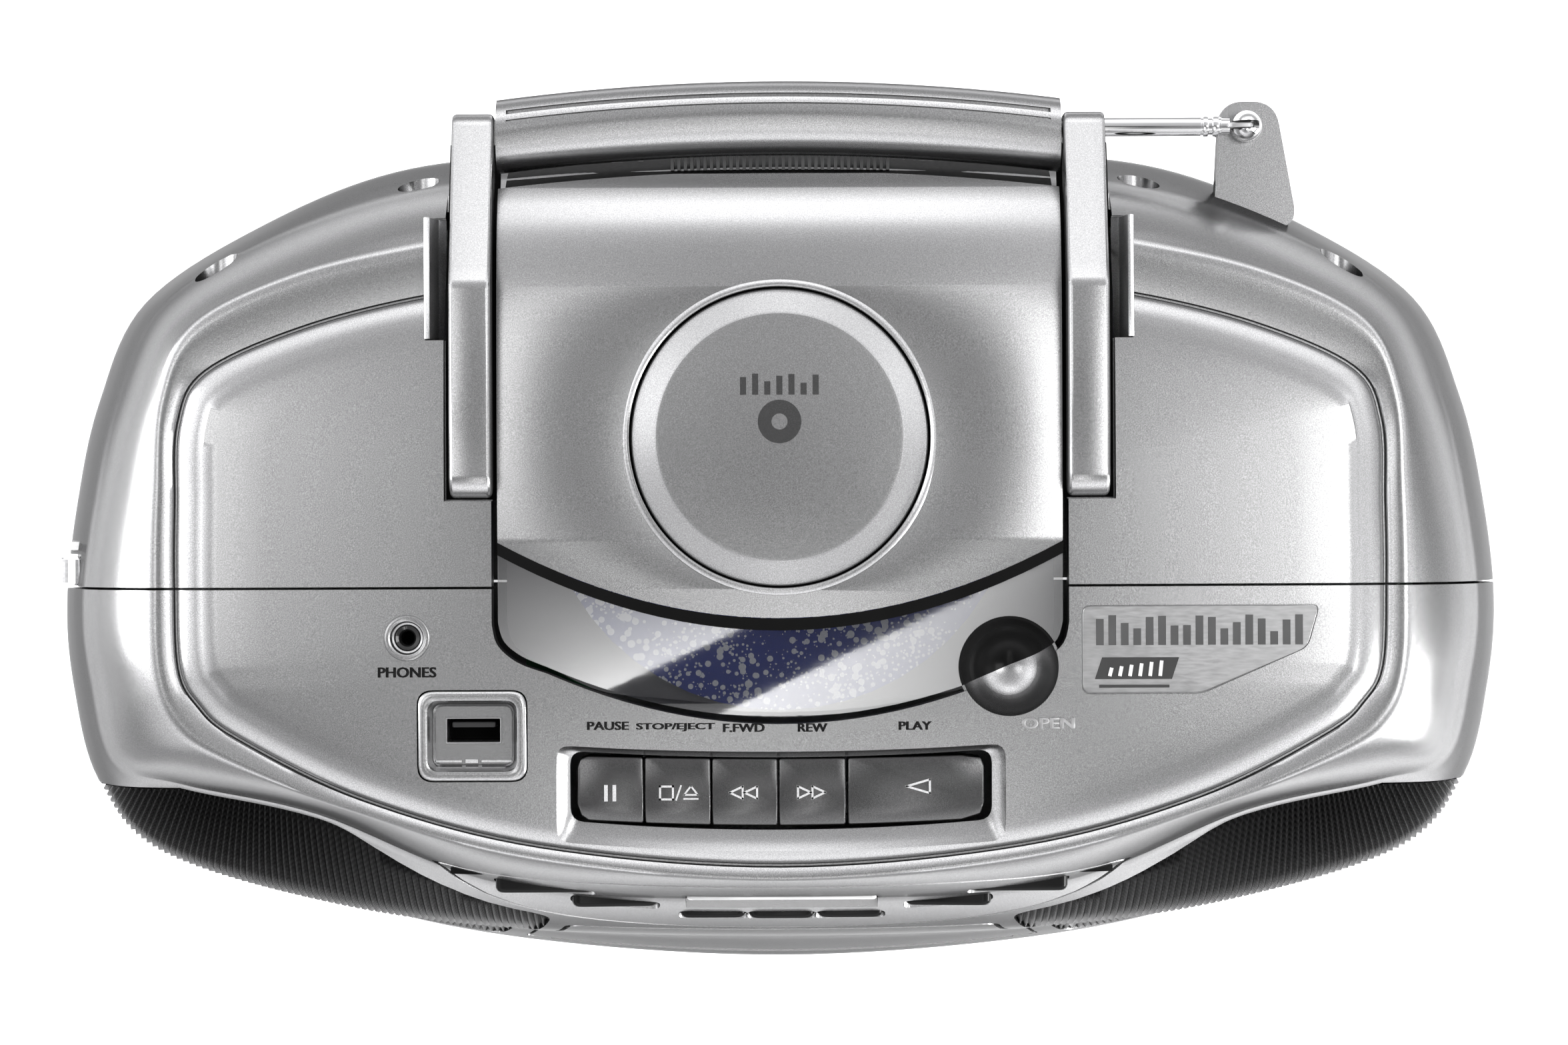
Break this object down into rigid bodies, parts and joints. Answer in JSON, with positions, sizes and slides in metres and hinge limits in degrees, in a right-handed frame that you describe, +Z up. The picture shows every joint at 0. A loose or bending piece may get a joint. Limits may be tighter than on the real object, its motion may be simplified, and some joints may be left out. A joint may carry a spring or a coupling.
{
  "type": "portable cd player",
  "caption": "silver portable stereo with a top-loading disc lid, a front cassette door, piano keys, folding carrying handle, telescopic antenna and black ribbed speaker grilles",
  "frame": {"origin": "on the table, below the middle of the whole object", "axes": "+X to the right as its user faces it, +Y to the rear, +Z up"},
  "size_m": [0.3761, 0.2312, 0.147],
  "materials": {
    "silver_paint": "moulded plastic with fine-grained silver metallic paint",
    "black_mesh": "black ribbed speaker mesh",
    "black_gloss": "polished black plastic",
    "black_plastic": "moulded black plastic",
    "grey_plastic": "moulded grey plastic with fine ribs",
    "smoked_window": "clear, slightly smoked acrylic",
    "chrome": "bright plated",
    "pressed_steel": "plain pressed steel",
    "badge_print": "satin metallic plate",
    "rubber": "matt rubber",
    "cone_paper": "pressed pulp",
    "circuit_board": "green solder mask",
    "disc_print": "printed and lacquered disc"
  },
  "bodies": {
    "housing": {"front_cabinet": "silver_paint", "rear_cabinet": "silver_paint", "control_panel": "silver_paint", "display_window": "smoked_window", "speaker_grille_left": "black_mesh", "speaker_grille_right": "black_mesh", "speaker_left": "pressed_steel", "speaker_right": "pressed_steel", "usb_socket": "silver_paint", "phones_jack": "chrome", "badge_plate": "badge_print", "foot_front_left": "rubber", "foot_front_right": "rubber", "foot_rear_left": "rubber", "foot_rear_right": "rubber", "main_board": "circuit_board", "power_transformer": "pressed_steel", "mains_inlet": "black_plastic", "cd_deck": "grey_plastic", "spindle_motor": "pressed_steel", "pickup_rail": "pressed_steel", "tape_deck": "pressed_steel", "tape_motor": "pressed_steel"},
    "lid": {"cd_lid": "silver_paint", "lid_window": "smoked_window", "lid_disc_cap": "silver_paint"},
    "clamp": {"disc_clamp": "black_plastic"},
    "turntable": {"cd_turntable": "black_plastic", "compact_disc": "disc_print"},
    "pickup": {"optical_pickup": "black_plastic"},
    "handle": {"handle_arm_left": "silver_paint", "handle_arm_right": "silver_paint", "handle_grip": "silver_paint"},
    "door": {"cassette_door": "silver_paint"},
    "volume": {"volume_wheel": "chrome"},
    "function": {"function_switch": "chrome"},
    "antenna": {"antenna_swivel": "chrome", "antenna_base": "chrome"},
    "antenna_second": {"antenna_middle": "chrome"},
    "antenna_third": {"antenna_tip": "chrome"},
    "supply": {"supply_reel": "black_plastic"},
    "take_up": {"take_up_reel": "black_plastic"},
    "flywheel": {"capstan_flywheel": "pressed_steel"},
    "cone_left": {"speaker_cone_left": "cone_paper"},
    "cone_right": {"speaker_cone_right": "cone_paper"},
    "battery_cover": {"battery_door": "silver_paint"},
    "key_pause_body": {"key_pause": "silver_paint"},
    "key_stop_eject_body": {"key_stop_eject": "silver_paint"},
    "key_rewind_body": {"key_rewind": "silver_paint"},
    "key_fast_forward_body": {"key_fast_forward": "silver_paint"},
    "key_play_body": {"key_play": "silver_paint"},
    "button_folder_body": {"button_folder": "black_gloss"},
    "button_skip_down_body": {"button_skip_down": "black_gloss"},
    "button_repeat_body": {"button_repeat": "black_gloss"},
    "button_play_pause_body": {"button_play_pause": "black_gloss"},
    "button_stop_body": {"button_stop": "black_gloss"},
    "button_skip_up_body": {"button_skip_up": "black_gloss"},
    "button_tuning_body": {"button_tuning": "black_gloss"}
  },
  "joints": [
    {"name": "lid_hinge", "type": "hinge", "parent": "housing", "child": "lid", "pos_m": [0, 0.0865, 0.128], "axis": [-1, 0, 0], "range_deg": [0, 40]},
    {"name": "handle_hinge", "type": "hinge", "parent": "housing", "child": "handle", "pos_m": [0, 0.01675, 0.141], "axis": [1, 0, 0], "range_deg": [0, 90]},
    {"name": "cassette_door_hinge", "type": "hinge", "parent": "housing", "child": "door", "pos_m": [0, -0.1126, 0.02], "axis": [1, 0, 0], "range_deg": [0, 32]},
    {"name": "battery_door_hinge", "type": "hinge", "parent": "housing", "child": "battery_cover", "pos_m": [0, 0.0956, 0.0146], "axis": [-1, 0, 0], "range_deg": [0, 80]},
    {"name": "key_pause_press", "type": "slide", "parent": "housing", "child": "key_pause_body", "axis": [0, 0, -1], "range_m": [0, 0.004], "stiffness_N_per_m": 300, "springref_m": -0.001},
    {"name": "key_stop_eject_press", "type": "slide", "parent": "housing", "child": "key_stop_eject_body", "axis": [0, 0, -1], "range_m": [0, 0.004], "stiffness_N_per_m": 300, "springref_m": -0.001},
    {"name": "key_rewind_press", "type": "slide", "parent": "housing", "child": "key_rewind_body", "axis": [0, 0, -1], "range_m": [0, 0.004], "stiffness_N_per_m": 300, "springref_m": -0.001},
    {"name": "key_fast_forward_press", "type": "slide", "parent": "housing", "child": "key_fast_forward_body", "axis": [0, 0, -1], "range_m": [0, 0.004], "stiffness_N_per_m": 300, "springref_m": -0.001},
    {"name": "key_play_press", "type": "slide", "parent": "housing", "child": "key_play_body", "axis": [0, 0, -1], "range_m": [0, 0.004], "stiffness_N_per_m": 300, "springref_m": -0.001},
    {"name": "button_folder_press", "type": "slide", "parent": "housing", "child": "button_folder_body", "axis": [0, 1, 0], "range_m": [0, 0.0012], "stiffness_N_per_m": 150},
    {"name": "button_skip_down_press", "type": "slide", "parent": "housing", "child": "button_skip_down_body", "axis": [0, 1, 0], "range_m": [0, 0.0012], "stiffness_N_per_m": 150},
    {"name": "button_repeat_press", "type": "slide", "parent": "housing", "child": "button_repeat_body", "axis": [0, 1, 0], "range_m": [0, 0.0012], "stiffness_N_per_m": 150},
    {"name": "button_play_pause_press", "type": "slide", "parent": "housing", "child": "button_play_pause_body", "axis": [0, 1, 0], "range_m": [0, 0.0012], "stiffness_N_per_m": 150},
    {"name": "button_stop_press", "type": "slide", "parent": "housing", "child": "button_stop_body", "axis": [0, 1, 0], "range_m": [0, 0.0012], "stiffness_N_per_m": 150},
    {"name": "button_skip_up_press", "type": "slide", "parent": "housing", "child": "button_skip_up_body", "axis": [0, 1, 0], "range_m": [0, 0.0012], "stiffness_N_per_m": 150},
    {"name": "button_tuning_press", "type": "slide", "parent": "housing", "child": "button_tuning_body", "axis": [0, 1, 0], "range_m": [0, 0.0012], "stiffness_N_per_m": 150},
    {"name": "volume_turn", "type": "hinge", "parent": "housing", "child": "volume", "pos_m": [-0.1686, -0.007, 0.084], "axis": [0, 1, 0], "range_deg": [-140, 140]},
    {"name": "function_slide", "type": "slide", "parent": "housing", "child": "function", "axis": [0, 0, 1], "range_m": [-0.0045, 0.0045]},
    {"name": "antenna_swing", "type": "hinge", "parent": "housing", "child": "antenna", "pos_m": [0.1198, 0.10575, 0.105], "axis": [0, 0, 1], "range_deg": [-180, 0]},
    {"name": "antenna_middle_slide", "type": "slide", "parent": "antenna", "child": "antenna_second", "axis": [-1, 0, 0], "range_m": [0, 0.14]},
    {"name": "antenna_tip_slide", "type": "slide", "parent": "antenna_second", "child": "antenna_third", "axis": [-1, 0, 0], "range_m": [0, 0.14]},
    {"name": "disc_spin", "type": "hinge", "parent": "housing", "child": "turntable", "pos_m": [0, 0.0175, 0.123], "axis": [0, 0, 1], "continuous": true},
    {"name": "clamp_spin", "type": "hinge", "parent": "lid", "child": "clamp", "pos_m": [0, 0.0175, 0.129], "axis": [0, 0, 1], "continuous": true},
    {"name": "pickup_slide", "type": "slide", "parent": "housing", "child": "pickup", "axis": [1, 0, 0], "range_m": [0, 0.015]},
    {"name": "supply_spin", "type": "hinge", "parent": "housing", "child": "supply", "pos_m": [-0.0212, -0.0794, 0.052], "axis": [0, -1, 0], "continuous": true},
    {"name": "take_up_spin", "type": "hinge", "parent": "housing", "child": "take_up", "pos_m": [0.0212, -0.0794, 0.052], "axis": [0, -1, 0], "continuous": true},
    {"name": "flywheel_spin", "type": "hinge", "parent": "housing", "child": "flywheel", "pos_m": [0.022, -0.069, 0.05], "axis": [0, 1, 0], "continuous": true},
    {"name": "cone_left_move", "type": "slide", "parent": "housing", "child": "cone_left", "axis": [0, -1, 0], "range_m": [-0.001, 0.001], "stiffness_N_per_m": 800},
    {"name": "cone_right_move", "type": "slide", "parent": "housing", "child": "cone_right", "axis": [0, -1, 0], "range_m": [-0.001, 0.001], "stiffness_N_per_m": 800}
  ]
}
